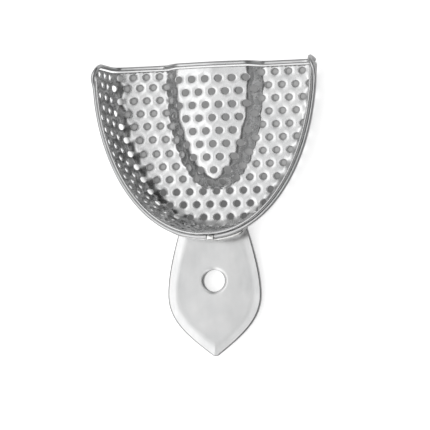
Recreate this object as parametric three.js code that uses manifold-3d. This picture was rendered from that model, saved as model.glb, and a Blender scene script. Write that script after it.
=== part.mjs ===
// A perforated stainless-steel impression tray for the upper jaw: a drawn pan of perforated
// sheet, a round wire run round its whole edge, and a leaf-shaped handle brazed to the front wall.
// Millimetres, +Z up and out of the open side, +X to the right, the handle towards -Y.
// The model is drawn round the centre of the floor's half ellipse and moved at the end, so that
// the origin is under the middle of the tray, on the surface it stands on.
import * as THREE from "three";
import { mergeVertices } from "three/addons/utils/BufferGeometryUtils.js";
import Module from "manifold-3d";

const wasm = await Module();
wasm.setup();

// ---- driving dimensions ----

const SHEET = 0.7; // thickness of the perforated sheet
const FLOOR = { halfWidth: 28.6, depth: 46.4 }; // half ellipse of the flat floor
const BACK_CUT = -0.7; // y of the sheet's straight back edge
const CORNER_RADIUS = 3.2; // rounded upper back corner of each side wall
const WALL = { foot: 3.6, height: 15.5, backDrop: 0.5, backDropLength: 20 };
const LEAN = { side: 4.5, quarter: 8, front: 6 }; // lean of the wall from upright, degrees

const PALATE = { height: 4.4, crown: 0.8, ease: 0.3, tipRound: 0.9 };
const PALATE_FOOT = { middle: 0, halfWidth: 15.45, depth: 37.7, powerX: 2.34, powerY: 2.34 };
const PALATE_TOP = { middle: 0.6, halfWidth: 10.3, depth: 33.8, powerX: 1.25, powerY: 2.8 };

const HOLE_DIAMETER = 2.2;
const HOLE_SIDES = 6;
const PITCH = { x: 4.2, y: 3.95 }; // along a row, and from row to row
const FIRST_ROW = -45.8; // y of the row that has a hole on the centre line
const EDGE_MARGIN = 0.5; // a hole nearer than this to the sheet's edge is left out
const FLATNESS = 0.12; // a cell's side that would miss the bent sheet by more is split in two

// Drawing the sheet moved its holes: on the palate, and at the back left of the floor.
const PALATE_FLOW = { x: 0.4, y: -1.75, start: 0.5, end: 4.5 }; // distances inside its foot
const LEFT_FLOW = { x: 1.6, y: 0.7, aside: { start: 10, end: 18 }, back: { start: -28, end: -19 } };
const EDGE_ROW = { start: -6.2, end: -2.4 }; // the last row keeps its distance from the back edge

const WIRE_DIAMETER = 1.3;
const WIRE_SIDES = 8;
const WIRE_STEPS = 116;
const WIRE_TURN = { wall: -52, back: 112 }; // where the wire sits round the sheet's edge, degrees
const GAP = 0.12; // clearance between pieces that touch

// The wire's ends meet a little to the right of the front, under a barrel of solder.
const JOINT = { stepsAside: 1, halfLength: 1.35, radius: 0.9, shift: 0.3, clearOfPoints: 0.4 };

const HANDLE = { top: 5.8, thickness: 1.6, bevel: 0.4, tip: -88, widestAt: -69.4, halfWidth: 14.5 };
const HANDLE_HOLE = { y: -65.2, diameter: 6.6 };
// How the leaf's curves leave its root, pass its widest place and close at its tip.
const LEAF = { rootOut: 1.9, rootDown: 6.5, above: 7, below: 8.2, tipOut: 7.6, tipUp: 5.6 };
const LEAF_TIP = { halfWidth: 0.9, up: 0.35, past: 0.2 };
const TAB = { halfWidth: 9.3, thickness: 1.5, underWire: 0.45, intoPlate: 0.35 };
const BRAZE = { top: 0.65, side: 0.55, under: 0.5 }; // radii of the runs of braze
const BRAZE_PLACE = { belowTabTop: 0.5, abovePlate: 0.6, underReach: 0.92 };

// ---- the form of the sheet ----
// The sheet is drawn as a flat blank and bent up. A blank point inside the floor's half ellipse
// keeps its x and y; one outside it, at a distance d, goes d along the wall's section.

const radians = THREE.MathUtils.degToRad;

function ellipsePoint(t) {
  return new THREE.Vector2(FLOOR.halfWidth * Math.cos(t), -FLOOR.depth * Math.sin(t));
}

function ellipseNormal(t) {
  return new THREE.Vector2(Math.cos(t) / FLOOR.halfWidth, -Math.sin(t) / FLOOR.depth).normalize();
}

// The angle of the ellipse's point nearest to (x, y), by Newton's method.
function nearestAngle(x, y) {
  const { halfWidth: a, depth: b } = FLOOR;
  let t = Math.atan2(-y * a, x * b);
  for (let step = 0; step < 8; step++) {
    const c = Math.cos(t);
    const s = Math.sin(t);
    const dx = x - a * c;
    const dy = y + b * s;
    const slope = -dx * a * s - dy * b * c;
    t -= slope / (-dx * a * c + dy * b * s - (a * s) ** 2 - (b * c) ** 2);
  }
  return t;
}

// How far the wall leans outwards: a parabola through the three angles, from side to front.
function wallLean(t) {
  const w = Math.asin(THREE.MathUtils.clamp(-ellipseNormal(t).y, 0, 1)) / (Math.PI / 2);
  const atSide = LEAN.side * (1 - w) * (1 - 2 * w);
  const atQuarter = LEAN.quarter * 4 * w * (1 - w);
  const atFront = LEAN.front * w * (2 * w - 1);
  return radians(atSide + atQuarter + atFront);
}

// The wall's section at a distance d along the sheet from the floor: out and up.
function wallSection(t, d) {
  const lean = wallLean(t);
  const turn = Math.PI / 2 - lean;
  const angle = Math.min(d / WALL.foot, turn);
  const straight = Math.max(d - WALL.foot * turn, 0);
  return {
    out: WALL.foot * Math.sin(angle) + straight * Math.sin(lean),
    up: WALL.foot * (1 - Math.cos(angle)) + straight * Math.cos(lean),
  };
}

// The distance along the sheet from the floor at which the wall is `height` high.
function wallLength(t, height) {
  const lean = wallLean(t);
  const rise = height - SHEET / 2 - WALL.foot * (1 - Math.sin(lean));
  return WALL.foot * (Math.PI / 2 - lean) + rise / Math.cos(lean);
}

// The wall's top edge: level, but lower towards the back.
function wallTop(t) {
  const forward = THREE.MathUtils.clamp(FLOOR.depth * Math.sin(t) / WALL.backDropLength, 0, 1);
  return WALL.height - WALL.backDrop * (1 - forward) ** 2;
}

// An outline's value, 1 on it and less inside, and its distance in millimetres, to first order.
function outlineAt(x, y, { middle, halfWidth, depth, powerX, powerY }) {
  const ax = Math.hypot(x - middle, PALATE.tipRound) / halfWidth;
  const ay = Math.max(-y, 0.01) / depth;
  const value = ax ** powerX + ay ** powerY;
  const gx = (powerX * ax ** (powerX - 1)) / halfWidth;
  const gy = (powerY * ay ** (powerY - 1)) / depth;
  return { value, distance: (value - 1) / Math.hypot(gx, gy) };
}

// Rises from 0 to 1 with a straight middle and eased ends.
function easedSlope(w) {
  const e = PALATE.ease;
  if (w < e) return (w * w) / (2 * e * (1 - e));
  if (w > 1 - e) return 1 - (1 - w) ** 2 / (2 * e * (1 - e));
  return (w - e / 2) / (1 - e);
}

function palateHeight(x, y) {
  const foot = outlineAt(x, y, PALATE_FOOT);
  if (foot.value >= 1) return 0;
  const top = outlineAt(x, y, PALATE_TOP);
  if (top.value <= 1) return PALATE.height + PALATE.crown * (1 - top.value);
  return PALATE.height * easedSlope(foot.distance / (foot.distance - top.distance));
}

// The middle of the sheet's thickness at the blank point (x, y).
function sheetPoint(x, y) {
  if ((x / FLOOR.halfWidth) ** 2 + (y / FLOOR.depth) ** 2 <= 1) {
    return new THREE.Vector3(x, y, SHEET / 2 + palateHeight(x, y));
  }
  const t = nearestAngle(x, y);
  const foot = ellipsePoint(t);
  const section = wallSection(t, Math.hypot(x - foot.x, y - foot.y));
  const flat = foot.addScaledVector(ellipseNormal(t), section.out);
  return new THREE.Vector3(flat.x, flat.y, SHEET / 2 + section.up);
}

// The sheet's normal there, pointing to the open side.
function sheetNormal(x, y) {
  const step = 0.02;
  const alongX = sheetPoint(x + step, y).sub(sheetPoint(x - step, y));
  const alongY = sheetPoint(x, y + step).sub(sheetPoint(x, y - step));
  return alongX.cross(alongY).normalize();
}

function offsetPoint(point, distance) {
  return sheetPoint(point.x, point.y).addScaledVector(sheetNormal(point.x, point.y), distance);
}

// The blank point on the wall at the ellipse's angle t and a distance d from the floor.
function blankOnWall(t, d) {
  return ellipsePoint(t).addScaledVector(ellipseNormal(t), d);
}

// ---- the blank: its outline and its cells ----

// The angle at which the wall's top edge, in the blank, comes to a given y near the back.
function angleOfTopEdge(y) {
  let low = 0;
  let high = 1;
  for (let step = 0; step < 40; step++) {
    const t = (low + high) / 2;
    if (blankOnWall(t, wallLength(t, wallTop(t))).y > y) low = t;
    else high = t;
  }
  return low;
}

// The blank's outline, counter-clockwise from the front: right wall, back edge, left wall.
function blankOutline(wallSteps, cornerSteps, backSteps) {
  const t0 = angleOfTopEdge(BACK_CUT - CORNER_RADIUS);
  const start = blankOnWall(t0, wallLength(t0, wallTop(t0)));
  const centreX = start.x - CORNER_RADIUS;
  const right = [];
  for (let i = 0; i < wallSteps; i++) {
    const t = Math.PI / 2 + (t0 - Math.PI / 2) * (i / wallSteps);
    right.push(blankOnWall(t, wallLength(t, wallTop(t))));
  }
  for (let i = 0; i < cornerSteps; i++) {
    const a = (Math.PI / 2) * (i / cornerSteps);
    const y = BACK_CUT - CORNER_RADIUS + CORNER_RADIUS * Math.sin(a);
    right.push(new THREE.Vector2(centreX + CORNER_RADIUS * Math.cos(a), y));
  }
  for (let i = 0; i <= backSteps; i++) {
    right.push(new THREE.Vector2(centreX * (1 - i / backSteps), BACK_CUT));
  }
  const left = right.slice(1, -1).reverse();
  return [...right, ...left.map((p) => new THREE.Vector2(-p.x, p.y))];
}

// The part of a convex polygon that is inside a convex outline; both are counter-clockwise.
function clipToOutline(polygon, outline) {
  let kept = polygon;
  outline.forEach((a, i) => {
    const b = outline[(i + 1) % outline.length];
    const side = (p) => (b.x - a.x) * (p.y - a.y) - (b.y - a.y) * (p.x - a.x);
    const next = [];
    kept.forEach((p, j) => {
      const q = kept[(j + 1) % kept.length];
      const sp = side(p);
      const sq = side(q);
      if (sp >= 0) next.push(p);
      if (sp >= 0 !== sq >= 0) next.push(p.clone().lerp(q, sp / (sp - sq)));
    });
    kept = next;
  });
  return kept;
}

function distanceInside(p, outline) {
  return Math.min(
    ...outline.map((a, i) => {
      const edge = outline[(i + 1) % outline.length].clone().sub(a);
      return edge.cross(p.clone().sub(a)) / edge.length();
    }),
  );
}

// Where drawing the sheet has moved the point (x, y) of the even pattern of holes.
function drawn(x, y) {
  const { smoothstep } = THREE.MathUtils;
  const inside = -outlineAt(x, y, PALATE_FOOT).distance;
  const palate = smoothstep(inside, PALATE_FLOW.start, PALATE_FLOW.end);
  const { aside, back } = LEFT_FLOW;
  const left = smoothstep(-x, aside.start, aside.end) * smoothstep(y, back.start, back.end);
  const movedX = PALATE_FLOW.x * palate + LEFT_FLOW.x * left;
  const held = 1 - smoothstep(y, EDGE_ROW.start, EDGE_ROW.end);
  const movedY = PALATE_FLOW.y * palate + LEFT_FLOW.y * left * held;
  return new THREE.Vector2(x + movedX, y + movedY);
}

// The cells of the staggered rows of holes: each a six-sided tile with its hole in the middle.
function blankCells(outline) {
  const nearCorner = PITCH.y / 2 - PITCH.x ** 2 / (8 * PITCH.y);
  const farCorner = PITCH.y - nearCorner;
  const corners = [
    [PITCH.x / 2, nearCorner],
    [0, farCorner],
    [-PITCH.x / 2, nearCorner],
    [-PITCH.x / 2, -nearCorner],
    [0, -farCorner],
    [PITCH.x / 2, -nearCorner],
  ];
  const cells = [];
  for (let row = -6; row <= 13; row++) {
    for (let column = -15; column <= 15; column++) {
      const x = (column + (row % 2 ? 0.5 : 0)) * PITCH.x;
      const y = FIRST_ROW + row * PITCH.y;
      const tile = clipToOutline(corners.map(([dx, dy]) => drawn(x + dx, y + dy)), outline);
      if (tile.length < 3) continue;
      const centre = drawn(x, y);
      const open = distanceInside(centre, outline) > HOLE_DIAMETER / 2 + EDGE_MARGIN;
      cells.push({ tile: splitSides(tile), hole: open ? holeOutline(centre) : null });
    }
  }
  return cells;
}

function holeOutline(centre) {
  const points = [];
  for (let i = 0; i < HOLE_SIDES; i++) {
    const a = (2 * Math.PI * (i + 0.5)) / HOLE_SIDES;
    const arm = new THREE.Vector2(Math.cos(a), Math.sin(a)).multiplyScalar(HOLE_DIAMETER / 2);
    points.push(centre.clone().add(arm));
  }
  return points;
}

function middleOf(tile) {
  const sum = tile.reduce((total, p) => total.add(p), new THREE.Vector2());
  return sum.divideScalar(tile.length);
}

// A tile with a point added in the middle of each side that bends with the sheet.
function splitSides(tile) {
  return tile.flatMap((a, i) => {
    const b = tile[(i + 1) % tile.length];
    const middle = a.clone().add(b).multiplyScalar(0.5);
    const chord = sheetPoint(a.x, a.y).add(sheetPoint(b.x, b.y)).multiplyScalar(0.5);
    return chord.distanceTo(sheetPoint(middle.x, middle.y)) > FLATNESS ? [a, middle] : [a];
  });
}

// Each point's direction from a centre, counted up from a first direction.
function directions(points, centre, first) {
  return points.map((p) => {
    const turned = p.clone().sub(centre).angle() - first;
    return THREE.MathUtils.euclideanModulo(turned, 2 * Math.PI);
  });
}

// Triangles between a tile's outline and its hole, going round both together.
function ringTriangles(tile, hole) {
  const centre = middleOf(hole);
  const first = hole[0].clone().sub(centre).angle();
  const around = directions(tile, centre, first);
  const start = around.indexOf(Math.min(...around));
  const n = tile.length;
  const m = hole.length;
  const outer = (i) => around[(start + i) % n] + (i < n ? 0 : 2 * Math.PI);
  const inner = (j) => (2 * Math.PI * j) / m;
  const triangles = [];
  let i = 0;
  let j = 0;
  while (i < n || j < m) {
    const a = (start + i) % n;
    const b = n + (j % m);
    if (j === m || (i < n && outer(i) + outer(i + 1) < inner(j) + inner(j + 1))) {
      triangles.push([a, (a + 1) % n, b]);
      i++;
    } else {
      triangles.push([a, n + ((j + 1) % m), b]);
      j++;
    }
  }
  return triangles;
}

// Triangles from a tile's outline to the point in its middle.
function fanTriangles(tile) {
  return tile.map((p, i) => [i, (i + 1) % tile.length, tile.length]);
}

// ---- meshes from the blank ----

// A closed solid from flat triangles of blank points: a face at each of two distances from the
// sheet's middle, and a wall along every open edge.
function sheetSolid(points, triangles, inner, outer) {
  const faceAt = (distance) => points.flatMap((p) => offsetPoint(p, distance).toArray());
  const vertices = [inner, outer].flatMap(faceAt);
  const n = points.length;
  const index = triangles.flatMap(([a, b, c]) => [a, b, c, c + n, b + n, a + n]);
  const edges = new Set();
  for (const [a, b, c] of triangles) {
    for (const edge of [[a, b], [b, c], [c, a]]) edges.add(edge.join());
  }
  for (const edge of edges) {
    const [a, b] = edge.split(",").map(Number);
    if (!edges.has(`${b},${a}`)) index.push(a, a + n, b + n, a, b + n, b);
  }
  const geometry = new THREE.BufferGeometry();
  geometry.setAttribute("position", new THREE.Float32BufferAttribute(vertices, 3));
  return geometry.setIndex(index);
}

function shellGeometry() {
  const points = [];
  const known = new Map();
  const triangles = [];
  const indexOf = (p) => {
    const key = `${Math.round(p.x * 1e5)},${Math.round(p.y * 1e5)}`;
    if (!known.has(key)) known.set(key, points.push(p) - 1);
    return known.get(key);
  };
  for (const { tile, hole } of blankCells(blankOutline(34, 4, 18))) {
    const numbers = [...tile, ...(hole ?? [middleOf(tile)])].map(indexOf);
    for (const [a, b, c] of hole ? ringTriangles(tile, hole) : fanTriangles(tile)) {
      const face = [numbers[a], numbers[b], numbers[c]];
      if (new Set(face).size === 3) triangles.push(face);
    }
  }
  return sheetSolid(points, triangles, SHEET / 2, -SHEET / 2);
}

// A patch of a plate that lies against the outside of the wall, between two angles either side
// of the front and two heights.
function wallPatch(halfAngle, low, high, thickness) {
  const columns = 12;
  const rows = 4;
  const points = [];
  const triangles = [];
  for (let i = 0; i <= columns; i++) {
    const t = Math.PI / 2 + halfAngle * (1 - (2 * i) / columns);
    for (let j = 0; j <= rows; j++) {
      const height = low + (high - low) * (j / rows);
      points.push(blankOnWall(t, wallLength(t, height)));
    }
  }
  for (let i = 0; i < columns; i++) {
    for (let j = 0; j < rows; j++) {
      const a = i * (rows + 1) + j;
      const b = a + rows + 1;
      triangles.push([a, a + 1, b + 1], [a, b + 1, b]);
    }
  }
  const near = -(SHEET / 2 + GAP);
  return sheetSolid(points, triangles, near, near - thickness);
}

// ---- round sections along a curve ----

function roundSection(radius) {
  return new THREE.Shape().absarc(0, 0, radius, 0, 2 * Math.PI);
}

function rodAlong(points, radius, sides, steps) {
  const extrudePath = new THREE.CatmullRomCurve3(points, false, "centripetal");
  const options = { extrudePath, steps, curveSegments: sides / 2, bevelEnabled: false };
  return new THREE.ExtrudeGeometry(roundSection(radius), options);
}

// The wire's middle beside the sheet's edge at one point of the blank's outline. It sits outside
// the wall just below its edge, and swings round to behind the edge at the back of the tray.
function wireCentre(before, at, after) {
  const along = sheetPoint(after.x, after.y).sub(sheetPoint(before.x, before.y)).normalize();
  const outward = sheetNormal(at.x, at.y).negate();
  const offEdge = along.clone().cross(outward).negate();
  const cornerTop = BACK_CUT - 2 * CORNER_RADIUS;
  const back = THREE.MathUtils.smoothstep(at.y, cornerTop, BACK_CUT);
  const turn = radians(THREE.MathUtils.lerp(WIRE_TURN.wall, WIRE_TURN.back, back));
  const reach = WIRE_DIAMETER / 2 + GAP + SHEET / 2;
  const aside = turn < 0 ? reach / Math.cos(turn) : reach;
  return sheetPoint(at.x, at.y)
    .addScaledVector(outward, aside * Math.cos(turn))
    .addScaledVector(offEdge, aside * Math.sin(turn));
}

function wireCentres() {
  const outline = blankOutline(40, 6, 26);
  const count = outline.length;
  const at = (i) => outline[(i + count) % count];
  return outline.map((p, i) => wireCentre(at(i - 1), p, at(i + 1)));
}

// Where the wire's ends meet, the way the wire runs there, and the rest of the wire in order.
function wireLoop() {
  const centres = wireCentres();
  const at = centres[JOINT.stepsAside];
  const along = centres[JOINT.stepsAside + 1].clone().sub(centres[JOINT.stepsAside - 1]).normalize();
  const rest = [...centres.slice(JOINT.stepsAside + 1), ...centres.slice(0, JOINT.stepsAside)];
  return { at, along, rest };
}

function wireGeometry() {
  const { at, along, rest } = wireLoop();
  const ends = JOINT.halfLength + GAP;
  const path = rest.filter((p) => p.distanceTo(at) > ends + JOINT.clearOfPoints);
  path.unshift(at.clone().addScaledVector(along, ends));
  path.push(at.clone().addScaledVector(along, -ends));
  return rodAlong(path, WIRE_DIAMETER / 2, WIRE_SIDES, WIRE_STEPS);
}

// A barrel of solder over the wire's meeting ends.
function jointGeometry() {
  const profile = [
    [0, -1],
    [0.78, -1],
    [0.95, -0.62],
    [1, 0],
    [0.95, 0.62],
    [0.78, 1],
    [0, 1],
  ].map(([r, x]) => new THREE.Vector2(r * JOINT.radius, x * JOINT.halfLength));
  return new THREE.LatheGeometry(profile, 12).rotateZ(Math.PI / 2);
}

// ---- the handle ----

function solidFrom(geometry) {
  const bare = geometry.clone().deleteAttribute("normal").deleteAttribute("uv");
  const merged = mergeVertices(bare, 1e-4);
  const vertProperties = merged.getAttribute("position").array;
  const triVerts = new Uint32Array(merged.index.array);
  return new wasm.Manifold(new wasm.Mesh({ numProp: 3, vertProperties, triVerts }));
}

function geometryFrom(solid) {
  const { vertProperties, triVerts } = solid.getMesh();
  const geometry = new THREE.BufferGeometry();
  geometry.setAttribute("position", new THREE.BufferAttribute(vertProperties, 3));
  return geometry.setIndex(new THREE.BufferAttribute(triVerts, 1));
}

// The angle either side of the front at which the handle's tab ends.
function tabAngle() {
  return Math.PI / 2 - Math.acos(TAB.halfWidth / (FLOOR.halfWidth + WALL.foot));
}

// The leaf outline, with a root that follows the front wall and a round hanging hole.
function handleOutline() {
  const { halfWidth, widestAt, tip } = HANDLE;
  const rootOffset = WALL.foot + SHEET / 2 + 4 * GAP;
  const root = [];
  for (let i = 0; i <= 10; i++) {
    root.push(blankOnWall(Math.PI / 2 + tabAngle() * (1 - i / 5), rootOffset));
  }
  const shape = new THREE.Shape(root);
  const { x: startX, y: startY } = root.at(-1);
  const leadX = startX + LEAF.rootOut;
  const leadY = startY - LEAF.rootDown;
  const above = widestAt + LEAF.above;
  const below = widestAt - LEAF.below;
  const tipX = LEAF_TIP.halfWidth;
  const tipY = tip + LEAF_TIP.up;
  shape.bezierCurveTo(leadX, leadY, halfWidth, above, halfWidth, widestAt);
  shape.bezierCurveTo(halfWidth, below, LEAF.tipOut, tip + LEAF.tipUp, tipX, tipY);
  shape.quadraticCurveTo(0, tip - LEAF_TIP.past, -tipX, tipY);
  shape.bezierCurveTo(-LEAF.tipOut, tip + LEAF.tipUp, -halfWidth, below, -halfWidth, widestAt);
  shape.bezierCurveTo(-halfWidth, above, -leadX, leadY, -startX, startY);
  const hole = new THREE.Path();
  shape.holes.push(hole.absarc(0, HANDLE_HOLE.y, HANDLE_HOLE.diameter / 2, 0, 2 * Math.PI));
  return shape;
}

function handleGeometry() {
  const { top, thickness, bevel } = HANDLE;
  const plate = new THREE.ExtrudeGeometry(handleOutline(), {
    depth: thickness - 2 * bevel,
    curveSegments: 10,
    bevelThickness: bevel,
    bevelSize: bevel,
    bevelOffset: -bevel,
    bevelSegments: 2,
  }).translate(0, 0, top - thickness + bevel);
  const foot = top - thickness + bevel + TAB.intoPlate;
  const tab = wallPatch(tabAngle(), foot, tabTop(), TAB.thickness);
  return geometryFrom(solidFrom(plate).add(solidFrom(tab)));
}

// The tab ends just under the wire.
function tabTop() {
  const wireDrop = Math.tan(radians(-WIRE_TURN.wall)) * (WIRE_DIAMETER / 2 + GAP + SHEET / 2);
  return WALL.height - wireDrop - WIRE_DIAMETER / 2 - TAB.underWire;
}

// ---- the runs of braze that hold the handle ----

// A run of braze outside the front wall: its middle at `aside` from the sheet's middle.
function brazeRun(route, radius, steps) {
  const points = route.map(([t, height, aside]) => {
    return offsetPoint(blankOnWall(t, wallLength(t, height)), -aside);
  });
  return rodAlong(points, radius, 6, steps);
}

function topBraze() {
  const aside = SHEET / 2 + 2 * GAP + TAB.thickness + BRAZE.top;
  const route = [];
  for (let i = 0; i <= 12; i++) {
    route.push([Math.PI / 2 + tabAngle() * (1 - i / 6), tabTop() - BRAZE_PLACE.belowTabTop, aside]);
  }
  return brazeRun(route, BRAZE.top, 16);
}

function sideBraze(side) {
  const reach = tabAngle() + (BRAZE.side + GAP) / (FLOOR.halfWidth * 0.9);
  const aside = SHEET / 2 + GAP + BRAZE.side;
  const route = [0, 0.25, 0.5, 0.75, 1].map((w) => [
    Math.PI / 2 - side * reach,
    THREE.MathUtils.lerp(HANDLE.top + BRAZE_PLACE.abovePlate, tabTop() - BRAZE.side, w),
    aside,
  ]);
  return brazeRun(route, BRAZE.side, 6);
}

function underBraze() {
  const points = [];
  const height = HANDLE.top - HANDLE.thickness - GAP - BRAZE.under;
  for (let i = 0; i <= 12; i++) {
    const t = Math.PI / 2 + tabAngle() * BRAZE_PLACE.underReach * (1 - i / 6);
    const flat = blankOnWall(t, WALL.foot + SHEET / 2 + 2 * GAP + BRAZE.under);
    points.push(new THREE.Vector3(flat.x, flat.y, height));
  }
  return rodAlong(points, BRAZE.under, 6, 14);
}

// ---- the assembly ----

const pan = { color: 0xc6c8ca, roughness: 0.26, metalness: 1 };
const polished = { color: 0xd2d4d6, roughness: 0.16, metalness: 1 };
const solder = { color: 0xdcdcda, roughness: 0.24, metalness: 1 };

const tray = new THREE.Group();

function addPiece(name, geometry, look) {
  const mesh = new THREE.Mesh(geometry, new THREE.MeshStandardMaterial(look));
  mesh.name = name;
  tray.add(mesh);
  return mesh;
}

addPiece("tray_shell", shellGeometry(), pan);
addPiece("rim_wire", wireGeometry(), polished);
const joint = addPiece("rim_joint_solder", jointGeometry(), solder);
const { at: jointCentre, along: jointAxis } = wireLoop();
const outOfTray = new THREE.Vector3(jointAxis.y, -jointAxis.x, 0);
joint.position.copy(jointCentre).addScaledVector(outOfTray, JOINT.shift);
joint.quaternion.setFromUnitVectors(new THREE.Vector3(1, 0, 0), jointAxis);
addPiece("handle", handleGeometry(), polished);
addPiece("handle_braze_top", topBraze(), solder);
addPiece("handle_braze_right", sideBraze(1), solder);
addPiece("handle_braze_left", sideBraze(-1), solder);
addPiece("handle_braze_under", underBraze(), solder);

// The tray stands on the underside of its floor, centred over the origin.
const box = new THREE.Box3().setFromObject(tray);
tray.position.set(0, -(box.min.y + box.max.y) / 2, -box.min.z);

export default tray;
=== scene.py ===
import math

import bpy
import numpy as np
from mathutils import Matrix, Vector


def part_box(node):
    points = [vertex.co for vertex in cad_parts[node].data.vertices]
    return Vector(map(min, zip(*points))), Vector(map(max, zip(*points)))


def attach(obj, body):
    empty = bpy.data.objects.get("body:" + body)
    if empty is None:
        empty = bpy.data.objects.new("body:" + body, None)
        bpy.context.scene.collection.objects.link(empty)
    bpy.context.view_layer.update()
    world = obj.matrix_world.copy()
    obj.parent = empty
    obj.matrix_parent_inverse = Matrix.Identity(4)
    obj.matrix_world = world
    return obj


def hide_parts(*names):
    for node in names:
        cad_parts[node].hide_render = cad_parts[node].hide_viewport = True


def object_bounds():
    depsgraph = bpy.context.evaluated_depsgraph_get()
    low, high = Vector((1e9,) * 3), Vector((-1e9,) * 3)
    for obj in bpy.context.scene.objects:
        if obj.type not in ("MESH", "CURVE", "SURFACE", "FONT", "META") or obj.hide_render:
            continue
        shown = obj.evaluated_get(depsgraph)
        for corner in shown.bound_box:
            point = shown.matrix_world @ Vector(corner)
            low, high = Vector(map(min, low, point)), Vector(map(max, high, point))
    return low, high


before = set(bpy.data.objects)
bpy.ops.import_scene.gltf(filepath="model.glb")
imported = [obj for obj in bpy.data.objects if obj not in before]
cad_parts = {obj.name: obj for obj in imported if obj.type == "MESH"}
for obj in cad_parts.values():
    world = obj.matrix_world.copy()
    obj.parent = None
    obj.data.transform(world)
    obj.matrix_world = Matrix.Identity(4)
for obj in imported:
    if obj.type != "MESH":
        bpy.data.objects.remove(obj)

# The looks of a perforated stainless-steel impression tray: the drawn sheet with round, eased
# holes, the rim wire, the handle with its countersunk hole, and the runs of braze.
# The forms below are worked out in millimetres around the middle of the floor's half ellipse,
# as the part's own source does, and put in place from the frame's boxes, in metres.

MM = 0.001
CAD_BOX = [list(corner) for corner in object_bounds()]

# ---- driving dimensions, millimetres ----

SHEET = 0.7  # thickness
FLOOR_HALF_WIDTH, FLOOR_DEPTH = 28.6, 46.4
BACK_CUT = -0.7
CORNER_RADIUS = 3.2
WALL_FOOT, WALL_HEIGHT, BACK_DROP, BACK_DROP_LENGTH = 3.6, 15.5, 0.5, 20.0
LEAN_SIDE, LEAN_QUARTER, LEAN_FRONT = 4.5, 8.0, 6.0  # degrees from upright

PALATE_HEIGHT, PALATE_CROWN, PALATE_EASE, TIP_ROUND = 4.4, 0.8, 0.3, 0.9
PALATE_FOOT = {"middle": 0.0, "half_width": 15.45, "depth": 37.7, "power_x": 2.34, "power_y": 2.34}
PALATE_TOP = {"middle": 0.6, "half_width": 10.3, "depth": 33.8, "power_x": 1.25, "power_y": 2.8}

HOLE_RADIUS = 1.0
HOLE_EASE, HOLE_EASE_DOWN, HOLE_DISH = 0.3, 0.22, 0.11  # how its upper edge rounds off and sinks
HOLE_EASE_BELOW = 0.12  # radius of its lower edge
PITCH_X, PITCH_Y = 4.2, 3.95
FIRST_ROW = -45.8
EDGE_MARGIN = 0.6  # a hole nearer than this to the sheet's edge is left out
CELL_STEP = 0.62  # longest piece of a cell's side
CUT_EDGE_INSET = 0.27  # how far the sheet's faces stop short of its bulging cut edge
CUT_EDGE_BULGE = ((0.08, 0.27), (0.0, 0.1), (0.0, -0.1), (0.08, -0.27))  # inset and height

# Drawing the sheet moved its holes: on the palate, and at the back left of the floor.
PALATE_FLOW = {"x": 0.4, "y": -1.75, "start": 0.5, "end": 4.5}  # distances inside its foot
LEFT_FLOW = {"x": 1.6, "y": 0.7, "aside": (10, 18), "back": (-28, -19)}
EDGE_ROW = (-6.2, -2.4)  # the last row keeps its distance from the back edge

WIRE_RADIUS = 0.65
WIRE_TURN_WALL, WIRE_TURN_BACK = -52.0, 112.0
GAP = 0.12
JOINT_HALF_LENGTH, JOINT_RADIUS, JOINT_SHIFT = 1.35, 0.9, 0.3
JOINT_STEPS_ASIDE = 4  # in steps of the wire's own outline, to the right of the front
WIRE_INTO_JOINT = 0.8  # where the wire ends, as a share of the joint's half length
CLEAR_OF_POINTS = 0.4  # the wire's other points keep this far from its ends

HANDLE_TOP, HANDLE_THICKNESS = 5.8, 1.6
HANDLE_TIP, HANDLE_WIDEST_AT, HANDLE_HALF_WIDTH = -88.0, -69.4, 14.5
LEAF_ROOT_OUT, LEAF_ROOT_DOWN, LEAF_ABOVE, LEAF_BELOW = 1.9, 6.5, 7, 8.2
LEAF_TIP_OUT, LEAF_TIP_UP, LEAF_TIP_HALF_WIDTH, LEAF_TIP_RISE = 7.6, 5.6, 0.9, 0.35
LEAF_TIP_ROUND = (0.4, 0.08)  # how far out and up from the tip the control points of its curve lie
HANG_HOLE_Y, HANG_HOLE_RADIUS, COUNTERSINK_RADIUS = -65.2, 3.3, 4.15
COUNTERSINK_START = 0.3  # how far below the top the hole's straight wall ends
# Radius and depth of the rings round the hanging hole, from its wall out to the flat top.
COUNTERSINK = ((3.34, 0.21), (3.44, 0.17), (3.85, 0.07), (4.05, 0.025), (4.15, 0.006), (4.3, 0))
HANDLE_ROLL, HANDLE_ROLL_WIDTH = 0.3, 2.5  # how far its top falls away along its edge
HANDLE_EDGE, TAB_EDGE = 0.5, 0.3  # radii of their eased edges
TAB_HALF_WIDTH, TAB_THICKNESS, TAB_UNDER_WIRE = 9.3, 1.5, 0.45
BRAZE_TOP, BRAZE_SIDE, BRAZE_UNDER = 0.65, 0.55, 0.5  # radii
BRAZE_STEPS, BRAZE_UNDER_REACH = 120, 0.92
BRAZE_THIN = 0.4  # the share of its radius that the top run has at its left end
BRAZE_BELOW_TAB_TOP, BRAZE_ABOVE_PLATE = 0.1, 0.6

# The shell's back edge is at the back cut, so its box gives the way from the forms to the frame.
SHELL_LOW, SHELL_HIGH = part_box("tray_shell")
FORM_TO_FRAME = np.array([0.0, SHELL_HIGH.y / MM - BACK_CUT, SHELL_LOW.z / MM])


# ---- the form of the sheet ----

def smoothstep(value, start, end):
    w = np.clip((value - start) / (end - start), 0, 1)
    return w * w * (3 - 2 * w)


def unit(vectors):
    return vectors / np.linalg.norm(vectors, axis=-1, keepdims=True)


def ellipse_point(t):
    return np.stack([FLOOR_HALF_WIDTH * np.cos(t), -FLOOR_DEPTH * np.sin(t)], -1)


def ellipse_normal(t):
    return unit(np.stack([np.cos(t) / FLOOR_HALF_WIDTH, -np.sin(t) / FLOOR_DEPTH], -1))


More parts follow.
